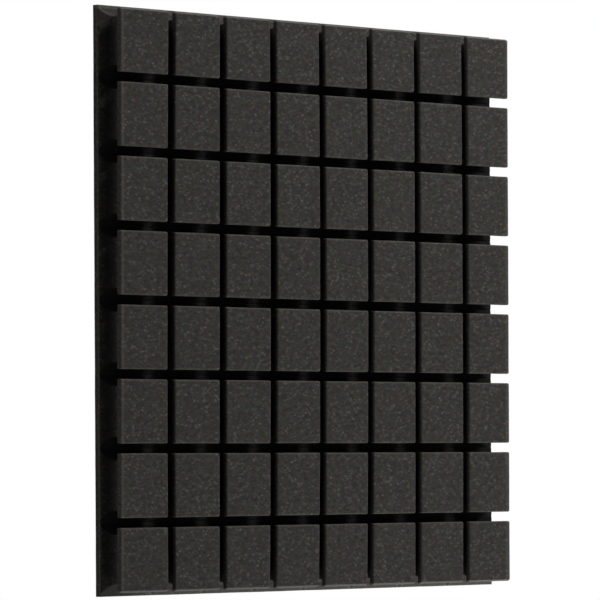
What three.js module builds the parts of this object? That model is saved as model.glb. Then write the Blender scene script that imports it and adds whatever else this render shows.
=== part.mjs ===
// An acoustic foam tile: a square slab whose face is cut into flat square blocks by keyhole grooves
// that run both ways. Millimetres, +Z up. The back lies on the plane Y = 0, centred on the origin,
// and the blocks face -Y. Depths are counted from the face towards the back.
import * as THREE from 'three';

// The whole tile. It is cut to size within its outermost grooves, so it is a little smaller than the
// pitches of its grooves added up. trimWidth says by how much.
const tileSize = 500;
const tileDepth = 30;
const trimWidth = 2.4;

// How far the base stands out past the outer blocks, at the left and right and at the top and bottom.
const sideMargin = 1.2;
const endMargin = 3;

// The grooves. Each is a straight slot at the face, as deep as the lip of a block is thick, that
// opens into a wider round bore. lipAngle is where the lip meets the bore, in degrees round the bore
// from the level of its middle towards the face.
const blocksPerSide = 8;
const slotWidth = 8.2;
const lipThickness = 4.7;
const lipAngle = 57.6;
const boreSteps = 12;

// The solid foam behind the grooves: the foot of a row of blocks, and the plain sheet at the back
// that the rows are glued to.
const footThickness = 2.3;
const sheetThickness = 4;

const foamLook = { color: 0x3a3834, roughness: 1, metalness: 0 };

// Worked out from the sizes above.
const halfTile = tileSize / 2;
const pitch = (tileSize + trimWidth) / blocksPerSide;
const seatDepth = tileDepth - sheetThickness;
const grooveDepth = seatDepth - footThickness;
const lipTurn = THREE.MathUtils.degToRad(lipAngle);
const boreRadius = (grooveDepth - lipThickness) / (1 + Math.sin(lipTurn));
const boreCentreDepth = grooveDepth - boreRadius;

// The groove in section, from the face down one side to the bottom: half its width at each depth.
function grooveSection() {
  const section = [
    { halfWidth: slotWidth / 2, depth: 0 },
    { halfWidth: slotWidth / 2, depth: lipThickness },
  ];
  for (let step = 0; step < boreSteps; step += 1) {
    const angle = -lipTurn + (Math.PI / 2 + lipTurn) * (step / boreSteps);
    section.push({
      halfWidth: boreRadius * Math.cos(angle),
      depth: boreCentreDepth + boreRadius * Math.sin(angle),
    });
  }
  section.push({ halfWidth: 0, depth: grooveDepth });
  return section;
}

// Where the middle lines of the grooves lie. The outermost ones run along the tile's edges, and cut
// the outer blocks back by the margin.
function grooveLines(margin) {
  const outermost = halfTile - margin + slotWidth / 2;
  return Array.from({ length: blocksPerSide + 1 }, (_, groove) => {
    const isOutermost = groove === 0 || groove === blocksPerSide;
    const side = Math.sign(groove - blocksPerSide / 2);
    return isOutermost ? side * outermost : (groove - blocksPerSide / 2) * pitch;
  });
}

const columnGrooves = grooveLines(sideMargin);
const rowGrooves = grooveLines(endMargin);

// Keeps a place on the face within the tile's cut edge.
function withinTile(place) {
  return Math.min(Math.max(place, -halfTile), halfTile);
}

// A corner of one block at one depth. xSide and zSide are 0 for the low side and 1 for the high side.
function blockCorner(column, row, { halfWidth, depth }, [xSide, zSide]) {
  const inward = (side) => (side === 0 ? halfWidth : -halfWidth);
  return new THREE.Vector3(
    withinTile(columnGrooves[column + xSide] + inward(xSide)),
    depth - tileDepth,
    withinTile(rowGrooves[row + zSide] + inward(zSide)),
  );
}

// The sides of a block's four corners, anticlockwise as seen from the front.
const cornerSides = [[0, 0], [1, 0], [1, 1], [0, 1]];

function blockRing(column, row, level) {
  return cornerSides.map((sides) => blockCorner(column, row, level, sides));
}

// Collects flat faces, each given by its corners in anticlockwise order as seen from outside, into one
// closed body whose neighbouring faces share their corners.
class Faces {
  constructor() {
    this.coordinates = [];
    this.triangles = [];
    this.known = new Map();
  }

  indexOf(corner) {
    const key = corner.toArray().map(Math.fround).join(' ');
    if (!this.known.has(key)) {
      this.known.set(key, this.known.size);
      this.coordinates.push(...corner.toArray());
    }
    return this.known.get(key);
  }

  add(...corners) {
    const [first, ...others] = corners.map((corner) => this.indexOf(corner));
    for (let next = 1; next < others.length; next += 1) {
      const triangle = [first, others[next - 1], others[next]];
      if (new Set(triangle).size === triangle.length) {
        this.triangles.push(...triangle);
      }
    }
  }

  // The wall between two rings of corners, the outer or nearer one first.
  addWall(near, far) {
    near.forEach((corner, side) => {
      const next = (side + 1) % near.length;
      this.add(corner, far[side], far[next], near[next]);
    });
  }

  geometry() {
    const made = new THREE.BufferGeometry();
    made.setAttribute('position', new THREE.Float32BufferAttribute(this.coordinates, 3));
    made.setIndex(this.triangles);
    made.computeVertexNormals();
    return made;
  }
}

// A block's face and its waisted sides, down to the bottoms of the grooves round it.
function addBlock(faces, column, row) {
  const rings = grooveSection().map((level) => blockRing(column, row, level));
  faces.add(...rings[0]);
  for (let ring = 1; ring < rings.length; ring += 1) {
    faces.addWall(rings[ring - 1], rings[ring]);
  }
}

// The foot under a row of blocks, from the bottoms of the grooves to the sheet that it is glued to.
function addFoot(faces, row) {
  const floor = { halfWidth: 0, depth: grooveDepth };
  const seat = { halfWidth: 0, depth: seatDepth };
  for (let column = 0; column < blocksPerSide; column += 1) {
    const [lowLeft, lowRight, highRight, highLeft] = blockRing(column, row, floor);
    const [seatLowLeft, seatLowRight, seatHighRight, seatHighLeft] = blockRing(column, row, seat);
    faces.add(lowLeft, seatLowLeft, seatLowRight, lowRight);
    faces.add(highRight, seatHighRight, seatHighLeft, highLeft);
    faces.add(seatLowLeft, seatHighLeft, seatHighRight, seatLowRight);
    if (column === 0) {
      faces.add(highLeft, seatHighLeft, seatLowLeft, lowLeft);
    }
    if (column === blocksPerSide - 1) {
      faces.add(lowRight, seatLowRight, seatHighRight, highRight);
    }
  }
}

function blockRow(row) {
  const faces = new Faces();
  for (let column = 0; column < blocksPerSide; column += 1) {
    addBlock(faces, column, row);
  }
  addFoot(faces, row);
  return faces.geometry();
}

function backingSheet() {
  const sheet = new THREE.BoxGeometry(tileSize, sheetThickness, tileSize);
  return sheet.translate(0, -sheetThickness / 2, 0);
}

function foamMesh(name, geometry) {
  const mesh = new THREE.Mesh(geometry, new THREE.MeshStandardMaterial(foamLook));
  mesh.name = name;
  return mesh;
}

const tile = new THREE.Group();
tile.add(foamMesh('backing_sheet', backingSheet()));

// Rows are built from the bottom up, and numbered from the top down.
for (let row = 0; row < blocksPerSide; row += 1) {
  tile.add(foamMesh(`block_row_${blocksPerSide - row}`, blockRow(row)));
}

export default tile;
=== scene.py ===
import math
from functools import partial

import bpy
from mathutils import Euler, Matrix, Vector


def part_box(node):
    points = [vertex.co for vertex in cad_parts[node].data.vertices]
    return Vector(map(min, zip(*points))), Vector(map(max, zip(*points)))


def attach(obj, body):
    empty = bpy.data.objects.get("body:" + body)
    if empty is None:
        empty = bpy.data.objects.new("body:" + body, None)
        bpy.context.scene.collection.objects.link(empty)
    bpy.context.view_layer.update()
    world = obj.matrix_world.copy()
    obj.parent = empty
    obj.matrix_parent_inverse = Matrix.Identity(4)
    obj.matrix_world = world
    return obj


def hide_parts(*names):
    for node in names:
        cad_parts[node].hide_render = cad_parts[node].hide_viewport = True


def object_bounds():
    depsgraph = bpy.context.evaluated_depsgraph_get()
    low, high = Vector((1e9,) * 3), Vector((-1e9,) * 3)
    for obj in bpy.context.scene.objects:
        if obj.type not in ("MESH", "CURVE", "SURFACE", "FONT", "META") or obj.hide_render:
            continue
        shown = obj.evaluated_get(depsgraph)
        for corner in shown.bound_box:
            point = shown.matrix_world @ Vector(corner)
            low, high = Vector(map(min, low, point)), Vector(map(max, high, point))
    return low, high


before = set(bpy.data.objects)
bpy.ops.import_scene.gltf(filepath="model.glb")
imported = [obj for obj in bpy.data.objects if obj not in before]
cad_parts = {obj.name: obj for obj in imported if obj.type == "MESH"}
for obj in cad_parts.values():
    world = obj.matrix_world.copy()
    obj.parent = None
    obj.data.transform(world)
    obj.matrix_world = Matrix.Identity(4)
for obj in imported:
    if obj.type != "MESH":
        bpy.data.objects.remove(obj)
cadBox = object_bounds()
mm = 0.001


# inputs gives the sockets, in order or by name or number, each a value, the socket that feeds it or
# a node whose first output does.
def addNode(tree, kind, inputs=(), **settings):
    node = tree.nodes.new(kind)
    for name, value in settings.items():
        setattr(node, name, value)
    # Only an index switch has these. Its first input is the index, and the others are the choices.
    while hasattr(node, "index_switch_items") and len(node.index_switch_items) < len(inputs) - 1:
        node.index_switch_items.new()
    for name, value in inputs.items() if isinstance(inputs, dict) else enumerate(inputs):
        if isinstance(value, bpy.types.Node):
            value = value.outputs[0]
        if isinstance(value, bpy.types.NodeSocket):
            tree.links.new(value, node.inputs[name])
        else:
            node.inputs[name].default_value = value
    return node


def toLinear(hexColour):
    channels = [int(hexColour[at:at + 2], 16) / 255 for at in (1, 3, 5)]
    straight = [c / 12.92 if c <= 0.04045 else ((c + 0.055) / 1.055) ** 2.4 for c in channels]
    return (*straight, 1.0)


# The camera, where the photograph was taken from: far off to the left, a little below the middle.
viewpoint = {
    "aim": (0.0034, 0.0, 0.0048),   # the point in the middle of the picture, on the plane of the back
    "distance": 4.5635,
    "turn": 46.803,                 # degrees, to the right
    "tilt": 1.549,                  # degrees, upwards
    "roll": 0.072,
    "lens": 310.46,
    "farthest": 50.0,               # metres, how far it sees
}


def placeCamera(settings):
    camera = bpy.data.objects.new("camera", bpy.data.cameras.new("camera"))
    bpy.context.scene.collection.objects.link(camera)
    turned = Euler((
        math.radians(90 + settings["tilt"]),
        math.radians(settings["roll"]),
        math.radians(-settings["turn"]),
    ))
    ahead = turned.to_matrix() @ Vector((0, 0, -1))
    camera.rotation_euler = turned
    camera.location = Vector(settings["aim"]) - ahead * settings["distance"]
    camera.data.lens = settings["lens"]
    camera.data.clip_end = settings["farthest"]
    bpy.context.scene.camera = camera


# How the tile was cut, for all its pieces.
tileCut = {
    "leftStray": 1.2 * mm,    # how far out the left edge of the base is at mid-height
    "leftSkew": 0.0068,       # and how much farther for each metre up
    "rightStray": 1.5 * mm,   # the same for the right edge of the base and the blocks
    "rightSkew": -0.0036,
    "sideStart": 10 * mm,     # in from those edges, where that starts
    "sideFull": 0.996,        # of the way from the middle to them, where it is full
    "lowStray": 0.9 * mm,     # how far down the bottom edge of the base is
    "lowStart": 14 * mm,      # in from it, where that starts
    "lowFull": 0.988,         # of the way from the middle to it, where it is full
    "lowBlocks": 0.4,         # how much of that the blocks have,
    "lowBase": 0.6,           # and how much more the base has
    "baseFrom": -18 * mm,     # from the back, between which a block's stem turns into the base
    "baseTo": -7 * mm,
    "rim": 247.0 * mm,        # from the middle to the top and bottom edges of the outermost blocks
    "rimRadius": 1.8 * mm,    # how round the saw left them
    "rimCurve": 1.3,          # how much more of that lies near the edge
    "rimFrom": -26 * mm,      # from the back, between which that grows to its full size
    "rimTo": -30 * mm,
    "levelTrim": 0.12 * mm,   # how much farther than its line each side of a level slot is cut
    "edgeSteps": 6,           # points round an edge that the wire left round
    "cornerFrom": 0.6,        # of the lip's thickness, where its round corners start to fade
    "grooveStray": 1.0,       # how much of its run in grooveRuns each groove has
    "runReach": 0.88,         # of the way from the middle up and down, where those were measured
    "grain": 0.16 * mm,       # how rough the cut is, at the scale of a few cells
    "grainSize": 1.8 * mm,
    "grainSeed": 7.0,
    "wander": 0.45 * mm,      # how far the wire strays from its line
    "wanderSize": 45 * mm,
    "wanderSeed": 3.0,
    "detail": 2.0,            # of the noise for both
    "weld": 0.01 * mm,        # how close two points are that become one
}

# Open-cell polyurethane foam, dyed charcoal in the block and cut with a wire. A cut face is a net of
# fine struts round open pores, so it is quite matt and mottled, and the strut ends show as pale specks.
# The pores are coarser here than real ones, which would not show.
foam = {
    "strut": "#3E3C39",
    "pore": "#2E2D2A",
    "speck": "#5F5D59",
    "stretch": 1.75,          # how much longer the cells are across the tile than up it
    "lean": (35.0, 20.0, 25.0),   # degrees, which keep the patterns' own grid off the faces
    "detail": 1.0,            # of the noise for all the patterns
    "cellSize": 2.85,         # mm between pores
    "poreFrom": 0.22,         # how thin the net is in the middle of a pore
    "strutFrom": 0.79,        # and how dense on a strut
    "knotSize": 2.55,         # mm between the knots of struts
    "knotTwist": 0.3,         # how much their shapes are twisted
    "knotFrom": 0.53,         # how dense the net is where a knot starts
    "knotTo": 0.78,
    "knots": 0.45,            # how much of the speck's colour the densest knot has
    "speckSpacing": 2.5,      # mm between the places where a speck may be
    "speckShare": 0.45,       # of those places hold one
    "speckSize": 1.4,         # mm, the radius of the largest
    "mottleSize": 3.6,        # mm, the size of the faint patches of tint
    "mottle": 0.33,           # how strong they are
    "bumpHeight": 0.25,       # mm
    "bumpStrength": 0.4,
    "specular": 0.1,
    # The rest paint highlights on the tile's rims, the blocks' edges and the ridges, and shade in the
    # grooves.
    "paintedHighlightColour": "#7C7A74",
    "paintedHighlight": 0.37,           # how much of that colour the rims at the top and bottom of the tile have
    "paintedHighlightDepth": 5.5,       # mm behind the face, how deep that goes
    "baseHighlight": 0.28,          # how much of it the base's edges at the top and bottom of the tile have
    "baseHighlightFrom": 4.0,       # mm in from them, where that starts
    "cornerHighlight": 0.05,        # how much of it they have at the tile's lower left corner
    "cornerReach": 75.0,      # mm, how far that reaches
    "rimBack": 1.0,           # mm in front of the tile's back, where the base's pale edges end
    "upperEdge": 0.24,        # how much of it the edges of every block have: the upper one,
    "lowerEdge": 0.12,        # the lower one
    "uprightEdge": 0.09,      # and those at its left and right,
    "outerEdge": 0.14,        # and the tile's own left and right edges beside that
    "outerFrom": 6.0,         # mm in from the tile's sides, between which that grows
    "outerTo": 3.0,
    "outerLip": 1.0,          # mm behind the face, where it ends
    "edgeFrom": 0.3,          # mm in from a block's edge, between which its paleness fades
    "edgeTo": 2.0,
    "lipFrom": 1.2,           # mm behind the face, between which it fades along the lip
    "lipTo": 4.7,
    "ridge": 0.3,             # how much of the pale colour ridges have, where two half grooves meet
    "ridgeWidth": 0.05,       # of half a block
    # The colour of the painted shade in the grooves.
    "grooveShadeColour": "#1A191B",
    "grooveFrom": 0.8,        # mm behind the face, between which the painted shade of a groove grows
    "grooveTo": 6.0,
    "floorFrom": 20.0,        # mm behind the face, where the bottoms of the grooves start
    "floorShade": 0.72,       # how much of the painted shade is left at their lowest
    "footDepth": 24.2,        # mm behind the face, where the grooves end
    "openEdge": 22.0,         # mm in from the tile's edges, where its half grooves are open to light
    "sideFrom": 6.0,          # mm behind the face, between which those at the left and right darken
    "sideTo": 20.0,
    "sideShade": 0.77,        # how dark they are at last
    "outerShade": 0.42,       # how much of that is left right at the tile's edge
    "outerWidth": 4.5,        # mm in from it, where that starts
    "lowShade": 0.8,          # how dark the half groove along the bottom is at its left end
    "lowReach": 60.0,         # mm, how far that reaches
}


def makeFoam(name, settings):
    material = bpy.data.materials.new(name)
    material.use_nodes = True
    tree = material.node_tree
    tree.nodes.clear()
    add = partial(addNode, tree)
    place = add("ShaderNodeTexCoord").outputs["Object"]
    alongGrain = add("ShaderNodeMapping", {
        "Vector": place, "Scale": (1 / settings["stretch"], 1.0, 1.0),
        "Rotation": [math.radians(angle) for angle in settings["lean"]],
    }, vector_type="POINT")
    perMetre = 1 / mm

    # Pores and struts: dark and light grains, all of about one size.
    cells = add("ShaderNodeTexNoise", {
        "Vector": alongGrain, "Scale": perMetre / settings["cellSize"], "Detail": settings["detail"],
    })
    strutShare = add("ShaderNodeMapRange", {
        "Value": cells, "From Min": settings["poreFrom"], "From Max": settings["strutFrom"],
    })
    ground = add("ShaderNodeMix", {
        0: strutShare, 6: toLinear(settings["pore"]), 7: toLinear(settings["strut"]),
    }, data_type="RGBA")

    # Faint patches of warmer, greener and bluer foam.
    mottle = add("ShaderNodeTexNoise", {
        "Vector": alongGrain, "Scale": perMetre / settings["mottleSize"], "Detail": settings["detail"],
    })
    tinted = add("ShaderNodeMix", {
        0: settings["mottle"], 6: ground.outputs[2], 7: mottle.outputs["Color"],
    }, data_type="RGBA", blend_type="OVERLAY")

    # Where struts lie close together the cut is a little paler.
    knots = add("ShaderNodeTexNoise", {
        "Vector": alongGrain, "Scale": perMetre / settings["knotSize"], "Detail": settings["detail"],
        "Distortion": settings["knotTwist"],
    })
    knotShare = add("ShaderNodeMapRange", {
        "Value": knots, "From Min": settings["knotFrom"], "From Max": settings["knotTo"],
        "To Max": settings["knots"],
    }, interpolation_type="SMOOTHSTEP")
    knotted = add("ShaderNodeMix", {
        0: knotShare, 6: tinted.outputs[2], 7: toLinear(settings["speck"]),
    }, data_type="RGBA")

    # Specks: some of the places on a loose grid hold a pale strut end, no two alike.
    specks = add("ShaderNodeTexVoronoi", {
        "Vector": alongGrain, "Scale": perMetre / settings["speckSpacing"],
    }, feature="F1")
    chance = add("ShaderNodeSeparateColor", [specks.outputs["Color"]])
    chosen = add("ShaderNodeMapRange", {
        "Value": chance, "From Min": 1 - settings["speckShare"], "From Max": 1.0,
    })
    near = add("ShaderNodeMapRange", {
        "Value": specks.outputs["Distance"],
        "From Min": 0.0, "From Max": settings["speckSize"] / settings["speckSpacing"],
        "To Min": 1.0, "To Max": 0.0,
    }, interpolation_type="SMOOTHSTEP")
    speckShare = add("ShaderNodeMath", [chosen, near], operation="MULTIPLY")
    cut = add("ShaderNodeMix", {
        0: speckShare, 6: knotted.outputs[2], 7: toLinear(settings["speck"]),
    }, data_type="RGBA")

    # Painted highlights on the rims of the blocks at the top and bottom of the tile, where the light from
    # above and below falls on them, so they are a little paler.
    x, y, z = add("ShaderNodeSeparateXYZ", [place]).outputs
    front, half = cadBox[0].y, cadBox[1].x
    sideways = add("ShaderNodeMath", [x], operation="ABSOLUTE")
    upOrDown = add("ShaderNodeMath", [z], operation="ABSOLUTE")
    fromCorner = add("ShaderNodeMath", [x, z], operation="ADD")
    rim = add("ShaderNodeMapRange", {
        "Value": upOrDown, "From Min": tileCut["rim"] - tileCut["rimRadius"],
        "From Max": tileCut["rim"] - tileCut["rimRadius"] / 2, "To Max": settings["paintedHighlight"],
    }, interpolation_type="SMOOTHSTEP")
    onBlocks = add("ShaderNodeMath", [y, front + settings["paintedHighlightDepth"] * mm], operation="LESS_THAN")

    # And a painted highlight on the base's edges there, least at the lower left corner.
    baseFrom, baseTo = front + settings["floorFrom"] * mm, cadBox[1].y - settings["rimBack"] * mm
    onBase = add("ShaderNodeMath", [
        y, (baseFrom + baseTo) / 2, (baseTo - baseFrom) / 2,
    ], operation="COMPARE")
    baseHighlightAmount = add("ShaderNodeMapRange", {
        "Value": fromCorner,
        "From Min": -2 * half, "From Max": -2 * half + settings["cornerReach"] * mm,
        "To Min": settings["cornerHighlight"], "To Max": settings["baseHighlight"],
    })
    baseHighlight = add("ShaderNodeMapRange", {
        "Value": upOrDown, "To Max": baseHighlightAmount,
        "From Min": half - settings["baseHighlightFrom"] * mm,
        "From Max": half - settings["baseHighlightFrom"] / 2 * mm,
    }, interpolation_type="SMOOTHSTEP")

    # A painted highlight along the edges of every block, most where they look up, towards the light from
    # above. A place on a block counts from its middle, as far to the right and up as to its edges.
    onBlock = add("ShaderNodeAttribute", attribute_name="placeOnBlock").outputs["Vector"]
    right, up, _ = add("ShaderNodeSeparateXYZ", [onBlock]).outputs
    fromMiddle = add("ShaderNodeMath", [right], operation="ABSOLUTE")
    fromLevel = add("ShaderNodeMath", [up], operation="ABSOLUTE")
    upright = add("ShaderNodeMath", [fromMiddle, fromLevel], operation="GREATER_THAN")
    upper = add("ShaderNodeMath", [up, 0.0], operation="GREATER_THAN")
    levelHighlight = add("ShaderNodeMix", {
        0: upper, 2: settings["lowerEdge"], 3: settings["upperEdge"],
    }, data_type="FLOAT")
    edgeHighlight = add("ShaderNodeMix", {
        0: upright, 2: levelHighlight, 3: settings["uprightEdge"],
    }, data_type="FLOAT")
    fromEdge = add("ShaderNodeAttribute", attribute_name="fromEdge").outputs["Fac"]
    onEdge = add("ShaderNodeMapRange", {
        "Value": fromEdge, "To Min": edgeHighlight, "To Max": 0.0,
        "From Min": settings["edgeFrom"] * mm, "From Max": settings["edgeTo"] * mm,
    }, interpolation_type="SMOOTHSTEP")
    onLip = add("ShaderNodeMapRange", {
        "Value": y, "To Min": 1.0, "To Max": 0.0,
        "From Min": front + settings["lipFrom"] * mm, "From Max": front + settings["lipTo"] * mm,
    })
    edgeShare = add("ShaderNodeMath", [onEdge, onLip], operation="MULTIPLY")
    # And a painted highlight along the tile's own left and right edges.
    outer = add("ShaderNodeMapRange", {
        "Value": sideways, "To Max": settings["outerEdge"],
        "From Min": half - settings["outerFrom"] * mm, "From Max": half - settings["outerTo"] * mm,
    }, interpolation_type="SMOOTHSTEP")
    onFace = add("ShaderNodeMapRange", {
        "Value": y, "To Min": 1.0, "To Max": 0.0,
        "From Min": front, "From Max": front + settings["outerLip"] * mm,
    })

    # And a painted highlight on the ridges where the upright grooves run out into the half grooves at the top
    # and bottom.
    opening = settings["openEdge"] * mm
    underCover = add("ShaderNodeMapRange", {
        "Value": upOrDown, "From Min": half - opening, "From Max": half - opening / 2,
        "To Min": 1.0, "To Max": 0.0,
    }, interpolation_type="SMOOTHSTEP")
    fromRidge = add("ShaderNodeMath", [
        fromMiddle, fromLevel, settings["ridgeWidth"],
    ], operation="COMPARE")
    wallFrom, wallTo = front + settings["lipTo"] * mm, front + settings["footDepth"] * mm
    onWall = add("ShaderNodeMath", [
        y, (wallFrom + wallTo) / 2, (wallTo - wallFrom) / 2,
    ], operation="COMPARE")
    ridge = add("ShaderNodeMath", [fromRidge, onWall], operation="MULTIPLY")
    ridgeShare = add("ShaderNodeMix", {0: underCover, 2: settings["ridge"], 3: 0.0}, data_type="FLOAT")

    # All those painted highlights together.
    outerShare = add("ShaderNodeMath", [outer, onFace, edgeShare], operation="MULTIPLY_ADD")
    rimShare = add("ShaderNodeMath", [rim, onBlocks, outerShare], operation="MULTIPLY_ADD")
    ridgedShare = add("ShaderNodeMath", [ridge, ridgeShare, rimShare], operation="MULTIPLY_ADD")
    highlightShare = add("ShaderNodeMath", [baseHighlight, onBase, ridgedShare], operation="MULTIPLY_ADD")
    paintedHighlight = add("ShaderNodeMix", {
        0: highlightShare, 6: cut.outputs[2], 7: toLinear(settings["paintedHighlightColour"]),
    }, data_type="RGBA")

    # The walls of the grooves get painted shade, nearly black, but for the half grooves along the tile's
    # edges. There is less of it at the grooves' bottoms and more in the half groove along the bottom at its
    # left end.
    inside = add("ShaderNodeMapRange", {
        "Value": y,
        "From Min": front + settings["grooveFrom"] * mm, "From Max": front + settings["grooveTo"] * mm,
    }, interpolation_type="SMOOTHSTEP")
    beforeFoot = add("ShaderNodeMath", [y, front + settings["footDepth"] * mm], operation="LESS_THAN")
    sideInside = add("ShaderNodeMapRange", {
        "Value": y, "To Max": settings["sideShade"],
        "From Min": front + settings["sideFrom"] * mm, "From Max": front + settings["sideTo"] * mm,
    }, interpolation_type="SMOOTHSTEP")
    outwards = add("ShaderNodeMapRange", {
        "Value": sideways, "From Min": half - settings["outerWidth"] * mm, "From Max": half,
        "To Min": 1.0, "To Max": settings["outerShade"],
    }, interpolation_type="SMOOTHSTEP")
    alongSide = add("ShaderNodeMath", [sideInside, outwards], operation="MULTIPLY")
    atSide = add("ShaderNodeMapRange", {
        "Value": sideways, "From Min": half - opening, "From Max": half - opening / 2, "To Max": upright,
    }, interpolation_type="SMOOTHSTEP")
    inGroove = add("ShaderNodeMix", {0: atSide, 2: inside, 3: alongSide}, data_type="FLOAT")
    alongBottom = add("ShaderNodeMapRange", {
        "Value": fromCorner,
        "From Min": -2 * half, "From Max": -2 * half + settings["lowReach"] * mm,
        "To Min": settings["lowShade"], "To Max": 0.0,
    })
    cover = add("ShaderNodeMix", {0: underCover, 2: alongBottom, 3: 1.0}, data_type="FLOAT")
    towardsFloor = add("ShaderNodeMapRange", {
        "Value": y, "To Min": 1.0, "To Max": settings["floorShade"],
        "From Min": front + settings["floorFrom"] * mm, "From Max": front + settings["footDepth"] * mm,
    })
    wall = add("ShaderNodeMath", [cover, towardsFloor], operation="MULTIPLY")
    deepWall = add("ShaderNodeMath", [inGroove, wall], operation="MULTIPLY")
    deep = add("ShaderNodeMath", [deepWall, beforeFoot], operation="MULTIPLY")
    # The painted shade, mixed in.
    colour = add("ShaderNodeMix", {
        0: deep, 6: paintedHighlight.outputs[2], 7: toLinear(settings["grooveShadeColour"]),
    }, data_type="RGBA")

    bump = add("ShaderNodeBump", {
        "Strength": settings["bumpStrength"], "Distance": settings["bumpHeight"] * mm,
        "Height": strutShare,
    })
    shader = add("ShaderNodeBsdfPrincipled", {
        "Base Color": colour.outputs[2], "Normal": bump,
        "Roughness": 1.0, "Specular IOR Level": settings["specular"],
    })
    add("ShaderNodeOutputMaterial", {"Surface": shader})
    return material


foamCut = makeFoam("cutPolyurethaneFoam", foam)

# How far each groove between two columns runs off its line to the right, in mm: at the top of the
# tile, in its middle and at its bottom. The last is how much narrower its slot is on each side.
grooveRuns = [
    (0.0, 0.0, 0.0, 0.0),
    (1.3, 0.2, 0.8, -0.25),
    (1.5, 1.15, 0.8, -0.15),
    (1.4, 2.1, 0.9, -0.15),
    (0.75, 2.05, 0.4, 0.15),
    (-0.05, 1.4, 0.0, 0.3),
    (-0.2, 1.0, 0.75, 0.2),
    (1.4, 2.75, 2.7, -0.05),
    (0.0, 0.0, 0.0, 0.0),
]

# The inputs of the tree that cuts the pieces, each with its kind of socket. Those with a second name
# come straight from that setting of a piece, and the others are worked out for it.
treeInputs = {
    "Columns": ("Int", "columns"),
    "Face Cells": ("Int", "faceCells"),
    "Lip Rings": ("Int", "lipRings"),
    "Bore Rings": ("Int", "boreRings"),
    "Edge Steps": ("Int", "edgeSteps"),
    "Foot Thickness": ("Float", "footThickness"),
    "Slot Width": ("Float", "slotWidth"),
    "Lip Thickness": ("Float", "lipThickness"),
    "Face Run": ("Float", "faceRun"),
    "Face Edge Radius": ("Float", "faceEdgeRadius"),
    "Lip Edge Radius": ("Float", "lipEdgeRadius"),
    "Corner Radius": ("Float", "cornerRadius"),
    "Corner From": ("Float", "cornerFrom"),
    "Level Trim": ("Float", "levelTrim"),
    "Groove Stray": ("Float", "grooveStray"),
    "Run Reach": ("Float", "runReach"),
    "Left Stray": ("Float", "leftStray"),
    "Left Skew": ("Float", "leftSkew"),
    "Right Stray": ("Float", "rightStray"),
    "Right Skew": ("Float", "rightSkew"),
    "Side Start": ("Float", "sideStart"),
    "Side Full": ("Float", "sideFull"),
    "Low Stray": ("Float", "lowStray"),
    "Low Start": ("Float", "lowStart"),
    "Low Full": ("Float", "lowFull"),
    "Low Blocks": ("Float", "lowBlocks"),
    "Low Base": ("Float", "lowBase"),
    "Base From": ("Float", "baseFrom"),
    "Base To": ("Float", "baseTo"),
    "Rim": ("Float", "rim"),
    "Rim Radius": ("Float", "rimRadius"),
    "Rim Curve": ("Float", "rimCurve"),
    "Rim From": ("Float", "rimFrom"),
    "Rim To": ("Float", "rimTo"),
    "Grain": ("Float", "grain"),
    "Grain Size": ("Float", "grainSize"),
    "Grain Seed": ("Float", "grainSeed"),
    "Wander": ("Float", "wander"),
    "Wander Size": ("Float", "wanderSize"),
    "Wander Seed": ("Float", "wanderSeed"),
    "Detail": ("Float", "detail"),
    "Weld": ("Float", "weld"),
    "Pitch": ("Float", None),
    "Outer Line": ("Float", None),
    "Row Low": ("Float", None),
    "Row High": ("Float", None),
    "Tile Half": ("Float", None),
    "Tile Depth": ("Float", None),
    "Lip Angle": ("Float", None),
    "Bore Radius": ("Float", None),
    "Bore Depth": ("Float", None),
    "Turn": ("Float", None),
    "Material": ("Material", None),
}


# The lip and the bore of a groove in section, as two curves. X is half the groove's width at a place,
# and Y is the depth from the face.
def addSection(add, given):
    index = add("GeometryNodeInputIndex")
    halfSlot = add("ShaderNodeMath", [given["Slot Width"], 0.5], operation="MULTIPLY")
    faceStart = add("ShaderNodeMath", [halfSlot, given["Face Run"]], operation="ADD")
    lipCosine = add("ShaderNodeMath", [given["Lip Angle"]], operation="COSINE")
    neck = add("ShaderNodeMath", [lipCosine, given["Bore Radius"]], operation="MULTIPLY")
    corners = [
        add("ShaderNodeCombineXYZ", [faceStart]),
        add("ShaderNodeCombineXYZ", [halfSlot]),
        add("ShaderNodeCombineXYZ", [halfSlot, given["Lip Thickness"]]),
        add("ShaderNodeCombineXYZ", [neck, given["Lip Thickness"]]),
    ]
    radii = [0.0, given["Face Edge Radius"], given["Lip Edge Radius"], 0.0]
    corner = add("GeometryNodeIndexSwitch", [index, *corners], data_type="VECTOR")
    radius = add("GeometryNodeIndexSwitch", [index, *radii], data_type="FLOAT")
    points = add("GeometryNodePoints", {"Count": len(corners), "Position": corner})
    lipLine = add("GeometryNodePointsToCurves", [points])
    rounded = add("GeometryNodeFilletCurve", {
        "Curve": lipLine, "Count": given["Edge Steps"], "Radius": radius,
    }, mode="POLY")
    lip = add("GeometryNodeResampleCurve", {"Curve": rounded, "Count": given["Lip Rings"]}, mode="COUNT")

    # The bore goes from the lip round to the bottom of the groove.
    start = add("ShaderNodeMath", [given["Lip Angle"], -1.0], operation="MULTIPLY")
    sweep = add("ShaderNodeMath", [given["Lip Angle"], math.pi / 2], operation="ADD")
    arc = add("GeometryNodeCurveArc", {
        "Resolution": given["Bore Rings"], "Radius": given["Bore Radius"],
        "Start Angle": start, "Sweep Angle": sweep,
    }, mode="RADIUS")
    bore = add("GeometryNodeSetPosition", {
        "Geometry": arc, "Offset": add("ShaderNodeCombineXYZ", {"Y": given["Bore Depth"]}),
    })
    return lip, bore


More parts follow.
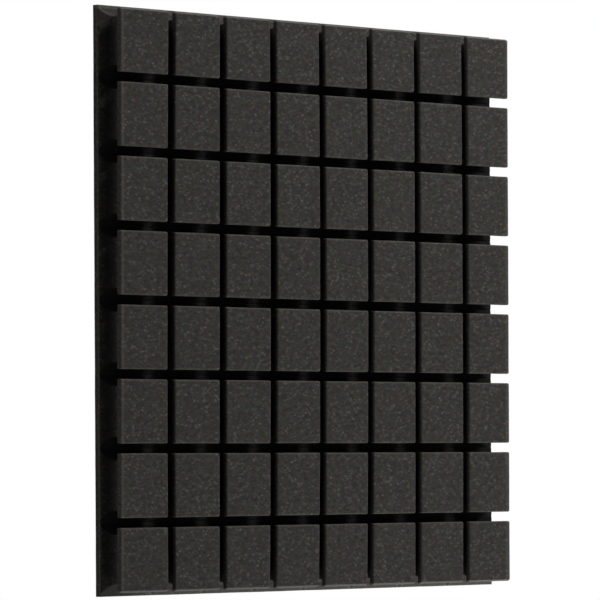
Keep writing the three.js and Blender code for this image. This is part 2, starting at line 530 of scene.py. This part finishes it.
# A square grid for each block. Each of its points knows its place on the block and the column.
def addGrids(add, given, rings):
    perSide = add("ShaderNodeMath", [rings, 2.0, 1.0], operation="MULTIPLY_ADD")
    grid = add("GeometryNodeMeshGrid", {
        "Size X": 2.0, "Size Y": 2.0, "Vertices X": perSide, "Vertices Y": perSide,
    })
    block = add("GeometryNodeStoreNamedAttribute", {
        "Geometry": grid, "Name": "placeOnBlock", "Value": add("GeometryNodeInputPosition"),
    }, data_type="FLOAT_VECTOR", domain="POINT")
    line = add("GeometryNodeMeshLine", {
        "Count": given["Columns"], "Offset": add("ShaderNodeCombineXYZ", [given["Pitch"]]),
    })
    blocks = add("GeometryNodeInstanceOnPoints", {"Points": line, "Instance": block})
    counted = add("GeometryNodeStoreNamedAttribute", {
        "Geometry": blocks, "Name": "column", "Value": add("GeometryNodeInputIndex"),
    }, data_type="INT", domain="INSTANCE")
    return add("GeometryNodeRealizeInstances", [counted])


# The middle line of the groove with that number. The outermost ones lie apart from the others.
def addGrooveLine(add, given, number):
    half = add("ShaderNodeMath", [given["Columns"], 0.5], operation="MULTIPLY")
    regular = add("ShaderNodeMath", [half, given["Pitch"]], operation="MULTIPLY")
    extra = add("ShaderNodeMath", [given["Outer Line"], regular], operation="SUBTRACT")
    fromMiddle = add("ShaderNodeMath", [number, half], operation="SUBTRACT")
    ofHalf = add("ShaderNodeMath", [fromMiddle, half], operation="DIVIDE")
    outermost = add("ShaderNodeMath", [ofHalf], operation="TRUNC")
    line = add("ShaderNodeMath", [fromMiddle, given["Pitch"]], operation="MULTIPLY")
    return add("ShaderNodeMath", [outermost, extra, line], operation="MULTIPLY_ADD")


# How far that groove's low or high side runs off its line, by a curve through three places on it.
def addRunOff(add, number, outward, weights, onSlot):
    runs = add("GeometryNodeIndexSwitch", [
        number, *([mm * stray for stray in run[:3]] for run in grooveRuns),
    ], data_type="VECTOR")
    narrower = add("GeometryNodeIndexSwitch", [
        number, *(mm * run[3] * outward for run in grooveRuns),
    ], data_type="FLOAT")
    runHere = add("ShaderNodeVectorMath", [runs, weights], operation="DOT_PRODUCT").outputs["Value"]
    return add("ShaderNodeMath", [narrower, onSlot, runHere], operation="MULTIPLY_ADD")


# Draws in what lies beyond the middle of a round corner. Places count from the block's middle.
def addRoundCorners(add, given, square, reach, depth):
    roundFrom = add("ShaderNodeMath", [given["Lip Thickness"], given["Corner From"]], operation="MULTIPLY")
    roundness = add("ShaderNodeMapRange", {
        "Value": depth, "From Min": roundFrom, "From Max": given["Lip Thickness"],
        "To Min": given["Corner Radius"], "To Max": 0.0,
    })
    corner = add("ShaderNodeCombineXYZ", [roundness, roundness])
    straight = add("ShaderNodeVectorMath", [reach, corner], operation="SUBTRACT")
    plain = add("ShaderNodeVectorMath", [square], operation="ABSOLUTE")
    past = add("ShaderNodeVectorMath", [plain, straight], operation="SUBTRACT")
    beyond = add("ShaderNodeVectorMath", [past, (0.0, 0.0, 0.0)], operation="MAXIMUM")
    beyondX, beyondZ, _ = add("ShaderNodeSeparateXYZ", [beyond]).outputs
    farther = add("ShaderNodeMath", [beyondX, beyondZ], operation="MAXIMUM")
    length = add("ShaderNodeVectorMath", [beyond], operation="LENGTH").outputs["Value"]
    shorter = add("ShaderNodeMath", [farther, length], operation="DIVIDE")
    drawnIn = add("ShaderNodeVectorMath", {0: beyond, "Scale": shorter}, operation="SCALE")
    within = add("ShaderNodeVectorMath", [plain, straight], operation="MINIMUM")
    cornered = add("ShaderNodeVectorMath", [within, drawnIn], operation="ADD")
    signs = add("ShaderNodeVectorMath", [square], operation="SIGN")
    return add("ShaderNodeVectorMath", [signs, cornered], operation="MULTIPLY")


# Lays the grids over the blocks. A grid's rings, counted from its middle, lie on the face and then on
# the points of the section.
def addBlocks(add, given, lip, bore):
    position = add("GeometryNodeInputPosition")
    lipSteps = add("ShaderNodeMath", [given["Lip Rings"], 1.0], operation="SUBTRACT")
    boreSteps = add("ShaderNodeMath", [given["Bore Rings"], 1.0], operation="SUBTRACT")
    lipEnd = add("ShaderNodeMath", [given["Face Cells"], lipSteps], operation="ADD")
    rings = add("ShaderNodeMath", [lipEnd, boreSteps], operation="ADD")
    grids = addGrids(add, given, rings)

    onBlock = add("GeometryNodeInputNamedAttribute", {"Name": "placeOnBlock"}, data_type="FLOAT_VECTOR")
    outwards = add("ShaderNodeVectorMath", [onBlock], operation="ABSOLUTE")
    outwardsX, outwardsZ, _ = add("ShaderNodeSeparateXYZ", [outwards]).outputs
    ofBlock = add("ShaderNodeMath", [outwardsX, outwardsZ], operation="MAXIMUM")
    ofRings = add("ShaderNodeMath", [ofBlock, rings], operation="MULTIPLY")
    ring = add("ShaderNodeMath", [ofRings], operation="ROUND")
    step = add("ShaderNodeMath", [ring, given["Face Cells"]], operation="SUBTRACT")
    boreStep = add("ShaderNodeMath", [step, lipSteps], operation="SUBTRACT")
    onLip, onBore = (
        add("GeometryNodeSampleIndex", {
            "Geometry": curve, "Value": position, "Index": at,
        }, data_type="FLOAT_VECTOR", domain="POINT", clamp=True)
        for curve, at in ((lip, step), (bore, boreStep))
    )
    pastLip = add("ShaderNodeMath", [step, lipSteps], operation="GREATER_THAN")
    section = add("GeometryNodeSwitch", [pastLip, onLip, onBore], input_type="VECTOR")
    inset, depth, _ = add("ShaderNodeSeparateXYZ", [section]).outputs

    # A block reaches from the groove lines at its low side to those at its high side, less the
    # groove's half width.
    column = add("GeometryNodeInputNamedAttribute", {"Name": "column"}, data_type="INT")
    nextColumn = add("ShaderNodeMath", [column, 1.0], operation="ADD")
    low = add("ShaderNodeCombineXYZ", [addGrooveLine(add, given, column), given["Row Low"]])
    high = add("ShaderNodeCombineXYZ", [addGrooveLine(add, given, nextColumn), given["Row High"]])
    bothEnds = add("ShaderNodeVectorMath", [low, high], operation="ADD")
    middle = add("ShaderNodeVectorMath", {0: bothEnds, "Scale": 0.5}, operation="SCALE")
    halfSize = add("ShaderNodeVectorMath", [high, middle], operation="SUBTRACT")
    onSlot = add("ShaderNodeMapRange", {
        "Value": depth, "From Min": given["Lip Thickness"], "From Max": given["Bore Depth"],
        "To Min": 1.0, "To Max": 0.0,
    }, interpolation_type="SMOOTHSTEP")
    levelInset = add("ShaderNodeMath", [onSlot, given["Level Trim"], inset], operation="MULTIPLY_ADD")
    insets = add("ShaderNodeCombineXYZ", [inset, levelInset])
    reach = add("ShaderNodeVectorMath", [halfSize, insets], operation="SUBTRACT")
    sectionRing = add("ShaderNodeMath", [ring, given["Face Cells"]], operation="MAXIMUM")
    larger = add("ShaderNodeMath", [rings, sectionRing], operation="DIVIDE")
    stretch = add("ShaderNodeVectorMath", {0: onBlock, "Scale": larger}, operation="SCALE")
    square = add("ShaderNodeVectorMath", [stretch, reach], operation="MULTIPLY")
    cornered = addRoundCorners(add, given, square, reach, depth)
    regular = add("ShaderNodeVectorMath", [middle, cornered], operation="ADD")

    # Where the grooves run off their lines, between a block's low and high side.
    level = add("ShaderNodeSeparateXYZ", [regular]).outputs[1]
    measured = add("ShaderNodeMath", [given["Tile Half"], given["Run Reach"]], operation="MULTIPLY")
    up = add("ShaderNodeMath", [level, measured], operation="DIVIDE")
    upSquared = add("ShaderNodeMath", [up, up], operation="MULTIPLY")
    towardsTop = add("ShaderNodeMath", [upSquared, up], operation="ADD")
    towardsBottom = add("ShaderNodeMath", [upSquared, up], operation="SUBTRACT")
    weights = add("ShaderNodeCombineXYZ", [
        add("ShaderNodeMath", [towardsTop, 0.5], operation="MULTIPLY"),
        add("ShaderNodeMath", [1.0, upSquared], operation="SUBTRACT"),
        add("ShaderNodeMath", [towardsBottom, 0.5], operation="MULTIPLY"),
    ])
    stretchX = add("ShaderNodeSeparateXYZ", [stretch]).outputs[0]
    ranOff = add("ShaderNodeMix", {
        0: add("ShaderNodeMath", [stretchX, 0.5, 0.5], operation="MULTIPLY_ADD"),
        2: addRunOff(add, column, -1.0, weights, onSlot),
        3: addRunOff(add, nextColumn, 1.0, weights, onSlot),
    }, data_type="FLOAT")
    strayX = add("ShaderNodeMath", [ranOff, given["Groove Stray"]], operation="MULTIPLY")
    stray = add("ShaderNodeCombineXYZ", [strayX])
    spread = add("ShaderNodeVectorMath", [regular, stray], operation="ADD")

    # No block passes the tile's cut edges.
    highEdge = add("ShaderNodeCombineXYZ", [given["Tile Half"], given["Tile Half"]])
    lowEdge = add("ShaderNodeVectorMath", [highEdge, (-1.0, -1.0, -1.0)], operation="MULTIPLY")
    pastLow = add("ShaderNodeVectorMath", [spread, lowEdge], operation="MAXIMUM")
    kept = add("ShaderNodeVectorMath", [pastLow, highEdge], operation="MINIMUM")
    keptX, keptZ, _ = add("ShaderNodeSeparateXYZ", [kept]).outputs
    placeY = add("ShaderNodeMath", [depth, given["Tile Depth"]], operation="SUBTRACT")
    placed = add("GeometryNodeSetPosition", {
        "Geometry": grids, "Position": add("ShaderNodeCombineXYZ", [keptX, placeY, keptZ]),
    })
    halfSlot = add("ShaderNodeMath", [given["Slot Width"], 0.5], operation="MULTIPLY")
    marked = add("GeometryNodeStoreNamedAttribute", {
        "Geometry": placed, "Name": "fromEdge",
        "Value": add("ShaderNodeMath", [inset, halfSlot], operation="SUBTRACT"),
    }, data_type="FLOAT", domain="POINT")
    return add("GeometryNodeMergeByDistance", {"Geometry": marked, "Distance": given["Weld"]})


# The foot: the open edge of the blocks goes straight back to the sheet, and is closed there.
def addFoot(add, given, blocks):
    openEdge = add("FunctionNodeCompare", {
        2: add("GeometryNodeInputMeshEdgeNeighbors"), 3: 1,
    }, data_type="INT", operation="EQUAL")
    foot = add("GeometryNodeExtrudeMesh", {
        "Mesh": blocks, "Selection": openEdge,
        "Offset": add("ShaderNodeCombineXYZ", {"Y": 1.0}), "Offset Scale": given["Foot Thickness"],
    }, mode="EDGES")
    seat = add("GeometryNodeExtrudeMesh", {
        "Mesh": foot.outputs["Mesh"], "Selection": foot.outputs["Top"], "Offset Scale": 0.0,
    }, mode="EDGES")
    bothSides = add("ShaderNodeMath", [given["Row Low"], given["Row High"]], operation="ADD")
    rowMiddle = add("ShaderNodeMath", [bothSides, 0.5], operation="MULTIPLY")
    seatY = add("ShaderNodeSeparateXYZ", [add("GeometryNodeInputPosition")]).outputs[1]
    closed = add("GeometryNodeSetPosition", {
        "Geometry": seat.outputs["Mesh"], "Selection": seat.outputs["Top"],
        "Position": add("ShaderNodeCombineXYZ", [0.0, seatY, rowMiddle]),
    })
    body = add("GeometryNodeMergeByDistance", {"Geometry": closed, "Distance": given["Weld"]})
    return add("GeometryNodeTransform", {
        "Geometry": body, "Rotation": add("ShaderNodeCombineXYZ", {"Z": given["Turn"]}),
    })


# The saw that cut the tile to size ran a little out of square on both sides and low at the bottom,
# and it left the front edges of the top and bottom blocks rounder than the wire does.
def addSawnEdges(add, given, body):
    x, y, z = add("ShaderNodeSeparateXYZ", [add("GeometryNodeInputPosition")]).outputs
    tileHalf = given["Tile Half"]
    base = add("ShaderNodeMapRange", {
        "Value": y, "From Min": given["Base From"], "From Max": given["Base To"],
    }, interpolation_type="SMOOTHSTEP")

    rightFull = add("ShaderNodeMath", [tileHalf, given["Side Full"]], operation="MULTIPLY")
    rightEdge = add("ShaderNodeMapRange", {
        "Value": x, "From Max": rightFull,
        "From Min": add("ShaderNodeMath", [tileHalf, given["Side Start"]], operation="SUBTRACT"),
    }, interpolation_type="SMOOTHSTEP")
    rightRun = add("ShaderNodeMath", [z, given["Right Skew"], given["Right Stray"]], operation="MULTIPLY_ADD")
    right = add("ShaderNodeMath", [rightEdge, rightRun], operation="MULTIPLY")
    leftEdge = add("ShaderNodeMapRange", {
        "Value": x, "From Max": add("ShaderNodeMath", [rightFull, -1.0], operation="MULTIPLY"),
        "From Min": add("ShaderNodeMath", [given["Side Start"], tileHalf], operation="SUBTRACT"),
    }, interpolation_type="SMOOTHSTEP")
    leftRun = add("ShaderNodeMath", [z, given["Left Skew"], given["Left Stray"]], operation="MULTIPLY_ADD")
    leftMost = add("ShaderNodeMath", [leftEdge, leftRun], operation="MULTIPLY")
    left = add("ShaderNodeMath", [leftMost, base], operation="MULTIPLY")

    lowFull = add("ShaderNodeMath", [tileHalf, given["Low Full"]], operation="MULTIPLY")
    lowEdge = add("ShaderNodeMapRange", {
        "Value": z, "From Max": add("ShaderNodeMath", [lowFull, -1.0], operation="MULTIPLY"),
        "From Min": add("ShaderNodeMath", [given["Low Start"], tileHalf], operation="SUBTRACT"),
    }, interpolation_type="SMOOTHSTEP")
    lowShare = add("ShaderNodeMath", [base, given["Low Base"], given["Low Blocks"]], operation="MULTIPLY_ADD")
    lowered = add("ShaderNodeMath", [lowEdge, lowShare], operation="MULTIPLY")
    down = add("ShaderNodeMath", [given["Low Stray"], -1.0], operation="MULTIPLY")

    rimStart = add("ShaderNodeMath", [given["Rim"], given["Rim Radius"]], operation="SUBTRACT")
    nearRim = add("ShaderNodeMapRange", {
        "Value": add("ShaderNodeMath", [z], operation="ABSOLUTE"),
        "From Min": rimStart, "From Max": given["Rim"],
    })
    curved = add("ShaderNodeMath", [nearRim, given["Rim Curve"]], operation="POWER")
    sunk = add("ShaderNodeMath", [curved, given["Rim Radius"]], operation="MULTIPLY")
    atFront = add("ShaderNodeMapRange", {
        "Value": y, "From Min": given["Rim From"], "From Max": given["Rim To"],
    })
    return add("GeometryNodeSetPosition", {
        "Geometry": body,
        "Offset": add("ShaderNodeCombineXYZ", [
            add("ShaderNodeMath", [right, left], operation="SUBTRACT"),
            add("ShaderNodeMath", [sunk, atFront], operation="MULTIPLY"),
            add("ShaderNodeMath", [lowered, down], operation="MULTIPLY"),
        ]),
    })


# How far each point strays by chance. Noise lies about 0.5.
def addStray(add, given, amount, size, seed):
    elsewhere = add("ShaderNodeVectorMath", [add("GeometryNodeInputPosition"), seed], operation="ADD")
    noise = add("ShaderNodeTexNoise", {
        "Vector": elsewhere, "Scale": add("ShaderNodeMath", [1.0, size], operation="DIVIDE"),
        "Detail": given["Detail"],
    }).outputs["Color"]
    eitherWay = add("ShaderNodeVectorMath", [noise, (0.5, 0.5, 0.5)], operation="SUBTRACT")
    return add("ShaderNodeVectorMath", {0: eitherWay, "Scale": amount}, operation="SCALE")


def makeBlockTree():
    tree = bpy.data.node_groups.new("cutBlocks", "GeometryNodeTree")
    tree.is_modifier = True
    for label, (kind, _) in treeInputs.items():
        tree.interface.new_socket(label, in_out="INPUT", socket_type="NodeSocket" + kind)
    tree.interface.new_socket("Geometry", in_out="OUTPUT", socket_type="NodeSocketGeometry")
    add = partial(addNode, tree)
    given = add("NodeGroupInput").outputs
    lip, bore = addSection(add, given)
    blocks = addBlocks(add, given, lip, bore)
    body = addFoot(add, given, blocks)
    sized = addSawnEdges(add, given, body)
    wander = addStray(add, given, given["Wander"], given["Wander Size"], given["Wander Seed"])
    grain = addStray(add, given, given["Grain"], given["Grain Size"], given["Grain Seed"])
    rough = add("GeometryNodeSetPosition", {
        "Geometry": sized, "Offset": add("ShaderNodeVectorMath", [wander, grain], operation="ADD"),
    })
    smooth = add("GeometryNodeSetShadeSmooth", {"Geometry": rough})
    whole = add("GeometryNodeRealizeInstances", [smooth])
    painted = add("GeometryNodeSetMaterial", {"Geometry": whole, "Material": given["Material"]})
    add("NodeGroupOutput", [painted])
    return tree


# Runs a tree on its own and keeps what comes out as a plain mesh at the origin.
def meshFrom(tree, name, values):
    host = bpy.data.objects.new(name + "_host", bpy.data.meshes.new(name))
    bpy.context.scene.collection.objects.link(host)
    modifier = host.modifiers.new("tree", "NODES")
    modifier.node_group = tree
    for socket in tree.interface.items_tree:
        if socket.in_out == "INPUT":
            modifier[socket.identifier] = values[socket.name]
    shown = host.evaluated_get(bpy.context.evaluated_depsgraph_get())
    mesh = bpy.data.meshes.new_from_object(shown)
    host.modifiers.remove(modifier)
    bpy.data.objects.remove(host)
    mesh.name = name
    piece = bpy.data.objects.new(name, mesh)
    bpy.context.scene.collection.objects.link(piece)
    return piece


def makePiece(tree, node, settings, values):
    sizes = {**tileCut, **settings}
    plain = {label: sizes[name] for label, (_, name) in treeInputs.items() if name}
    piece = meshFrom(tree, node + "_foam", {**plain, **values, "Material": foamCut})
    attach(piece, "root")
    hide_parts(node)
    return piece


# A row of blocks. The groove round a block is a slot at the face that opens into a round bore.
blockRows = {
    "rows": 8,
    "columns": 8,
    "slotWidth": 8.2 * mm,
    "lipThickness": 4.7 * mm,
    "lipAngle": 57.6,             # degrees round the bore, from its middle up to the lip
    "footThickness": 2.3 * mm,
    "sideMargin": 1.2 * mm,       # how far the base stands out past the outer blocks
    "endMargin": 3.0 * mm,
    "faceRun": 2.6 * mm,          # how far in from a block's edge its rings follow the edge
    "faceEdgeRadius": 1.3 * mm,   # the wire leaves the edges a little round
    "lipEdgeRadius": 0.5 * mm,
    "cornerRadius": 1.1 * mm,
    "faceCells": 25,              # from a block's middle to its edge
    "lipRings": 14,
    "boreRings": 12,
}


def makeRows(tree, settings):
    low, high = cadBox
    tileHalf = (high.x - low.x) / 2
    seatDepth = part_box("backing_sheet")[0].y - low.y
    lipTurn = math.radians(settings["lipAngle"])
    grooveDepth = seatDepth - settings["footThickness"]
    boreRadius = (grooveDepth - settings["lipThickness"]) / (1 + math.sin(lipTurn))
    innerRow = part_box("block_row_4")
    outerLine = tileHalf - settings["endMargin"] + settings["slotWidth"] / 2
    made = []
    for row in range(1, settings["rows"] + 1):
        node = f"block_row_{row}"
        bottom, top = (corner.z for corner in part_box(node))
        made.append(makePiece(tree, node, settings, {
            "Pitch": innerRow[1].z - innerRow[0].z,
            "Outer Line": tileHalf - settings["sideMargin"] + settings["slotWidth"] / 2,
            "Row Low": -outerLine if row == settings["rows"] else bottom,
            "Row High": outerLine if row == 1 else top,
            "Tile Half": tileHalf,
            "Tile Depth": high.y - low.y,
            "Lip Angle": lipTurn,
            "Bore Radius": boreRadius,
            "Bore Depth": grooveDepth - boreRadius,
            "Turn": 0.0,
        }))
    return made


# The plain sheet behind the rows. It is one wide block without a groove, turned to face the wall.
backingSheet = {
    "columns": 1,
    "slotWidth": 0.0,
    "footThickness": 0.0,
    "faceRun": 3.0 * mm,
    "faceEdgeRadius": 0.8 * mm,
    "lipEdgeRadius": 0.0,
    "cornerRadius": 0.0,
    "levelTrim": 0.0,
    "faceCells": 100,
    "lipRings": 12,
    "boreRings": 2,
    "grooveStray": 0.0,
}


def makeSheet(tree, settings):
    low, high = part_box("backing_sheet")
    half = (high.x - low.x) / 2
    thickness = high.y - low.y
    return makePiece(tree, "backing_sheet", {**settings, "lipThickness": thickness}, {
        "Pitch": 2 * half,
        "Outer Line": half,
        "Row Low": -half,
        "Row High": half,
        "Tile Half": half,
        "Tile Depth": 0.0,
        "Lip Angle": 0.0,
        "Bore Radius": 0.0,
        "Bore Depth": thickness,
        "Turn": math.pi,
    })


placeCamera(viewpoint)
blockTree = makeBlockTree()
rows = makeRows(blockTree, blockRows)
print("rows of blocks:", len(rows), "with", sum(len(piece.data.polygons) for piece in rows), "faces")
sheet = makeSheet(blockTree, backingSheet)
print("backing sheet:", len(sheet.data.polygons), "faces")


# A light table for a floor, a little below the tile, which hangs on a wall when it is used. Far from
# the tile the floor is plain white to the eye, as the space round it is.
studio = {
    "floorColour": "#F4F4F4",
    "floorRoughness": 0.9,
    "floorDrop": 50 * mm,
    "floorSize": 12.0,        # metres
    "paleFrom": 0.7,          # metres from the middle, between which the floor turns plain white
    "paleTo": 1.2,
    "bounce": 0.3,            # how pale the floor is to the light that it throws on the tile
    "backLight": 0.8,         # the strength of the light that comes from behind the tile
    "backFull": 0.35,         # how far back a direction points from where it has that strength on
}


# 1 for what the eye sees, straight on or in gloss or glass, and 0 for light.
def seenDirectly(add):
    path = add("ShaderNodeLightPath").outputs
    mirrored = add("ShaderNodeMath", [path["Is Camera Ray"], path["Is Glossy Ray"]], operation="MAXIMUM")
    return add("ShaderNodeMath", [mirrored, path["Is Transmission Ray"]], operation="MAXIMUM")


def makeFloor(settings):
    low = cadBox[0]
    mesh = bpy.data.meshes.new("floor")
    reach = settings["floorSize"] / 2
    height = low.z - settings["floorDrop"]
    corners = [(x * reach, y * reach, height) for x, y in ((-1, -1), (1, -1), (1, 1), (-1, 1))]
    mesh.from_pydata(corners, [], [(0, 1, 2, 3)])
    floor = bpy.data.objects.new("floor", mesh)
    bpy.context.scene.collection.objects.link(floor)
    floor.visible_shadow = False   # the low lamp shines up through it
    paint = bpy.data.materials.new("palePaint")
    paint.use_nodes = True
    tree = paint.node_tree
    tree.nodes.clear()
    add = partial(addNode, tree)
    bounce = settings["bounce"]
    tone = add("ShaderNodeMix", {
        0: add("ShaderNodeLightPath").outputs["Is Diffuse Ray"],
        6: toLinear(settings["floorColour"]), 7: (bounce, bounce, bounce, 1),
    }, data_type="RGBA")
    matt = add("ShaderNodeBsdfPrincipled", {
        "Base Color": tone.outputs[2], "Roughness": settings["floorRoughness"],
    })
    white = add("ShaderNodeEmission", {"Color": (1, 1, 1, 1), "Strength": 1.0})
    place = add("ShaderNodeTexCoord").outputs["Object"]
    flat = add("ShaderNodeVectorMath", [place, (1, 1, 0)], operation="MULTIPLY")
    far = add("ShaderNodeMapRange", {
        "Value": add("ShaderNodeVectorMath", [flat], operation="LENGTH").outputs["Value"],
        "From Min": settings["paleFrom"], "From Max": settings["paleTo"],
    }, interpolation_type="SMOOTHSTEP")
    share = add("ShaderNodeMath", [far, seenDirectly(add)], operation="MULTIPLY")
    mixed = add("ShaderNodeMixShader", [share, matt, white])
    add("ShaderNodeOutputMaterial", {"Surface": mixed})
    mesh.materials.append(paint)


def makeWorld(settings):
    world = bpy.data.worlds.new("studio")
    world.use_nodes = True
    bpy.context.scene.world = world
    tree = world.node_tree
    tree.nodes.clear()
    add = partial(addNode, tree)
    # Light comes mostly from the pale wall behind the tile.
    direction = add("ShaderNodeTexCoord").outputs["Generated"]
    backwards = add("ShaderNodeSeparateXYZ", [direction]).outputs["Y"]
    strength = add("ShaderNodeMapRange", {
        "Value": backwards, "From Min": 0.0, "From Max": settings["backFull"],
        "To Max": settings["backLight"],
    })
    shown = add("ShaderNodeMapRange", {"Value": seenDirectly(add), "To Min": strength, "To Max": 1.0})
    light = add("ShaderNodeBackground", {"Color": (1, 1, 1, 1), "Strength": shown})
    add("ShaderNodeOutputWorld", {"Surface": light})


# Where each lamp is, what it points at, how wide and high it is in metres, and its power in watts.
lamps = {
    "keyLamp": ((0.05, -1.0, 1.25), (0, 0, 0), (0.5, 0.28), 12.6),
    "fillLamp": ((0.05, -1.0, -1.2), (0, 0, 0), (0.5, 0.28), 3.8),
    "rightLamp": ((1.0, -0.5, 0.8), (0, 0, 0), (0.35, 0.35), 7.4),
    "lowLamp": ((0.7, -0.3, -1.2), (0, 0, -0.1), (0.35, 0.35), 12.0),
}


def makeLamps(settings):
    for name, (place, aim, size, power) in settings.items():
        data = bpy.data.lights.new(name, "AREA")
        data.shape = "RECTANGLE"
        data.size, data.size_y = size
        data.energy = power
        lamp = bpy.data.objects.new(name, data)
        lamp.location = place
        lamp.rotation_euler = (Vector(aim) - Vector(place)).to_track_quat("-Z", "Y").to_euler()
        lamp.visible_camera = False
        bpy.context.scene.collection.objects.link(lamp)


makeFloor(studio)
makeWorld(studio)
makeLamps(lamps)
print("studio and lamps made")

bpy.context.scene.view_settings.view_transform = "Standard"
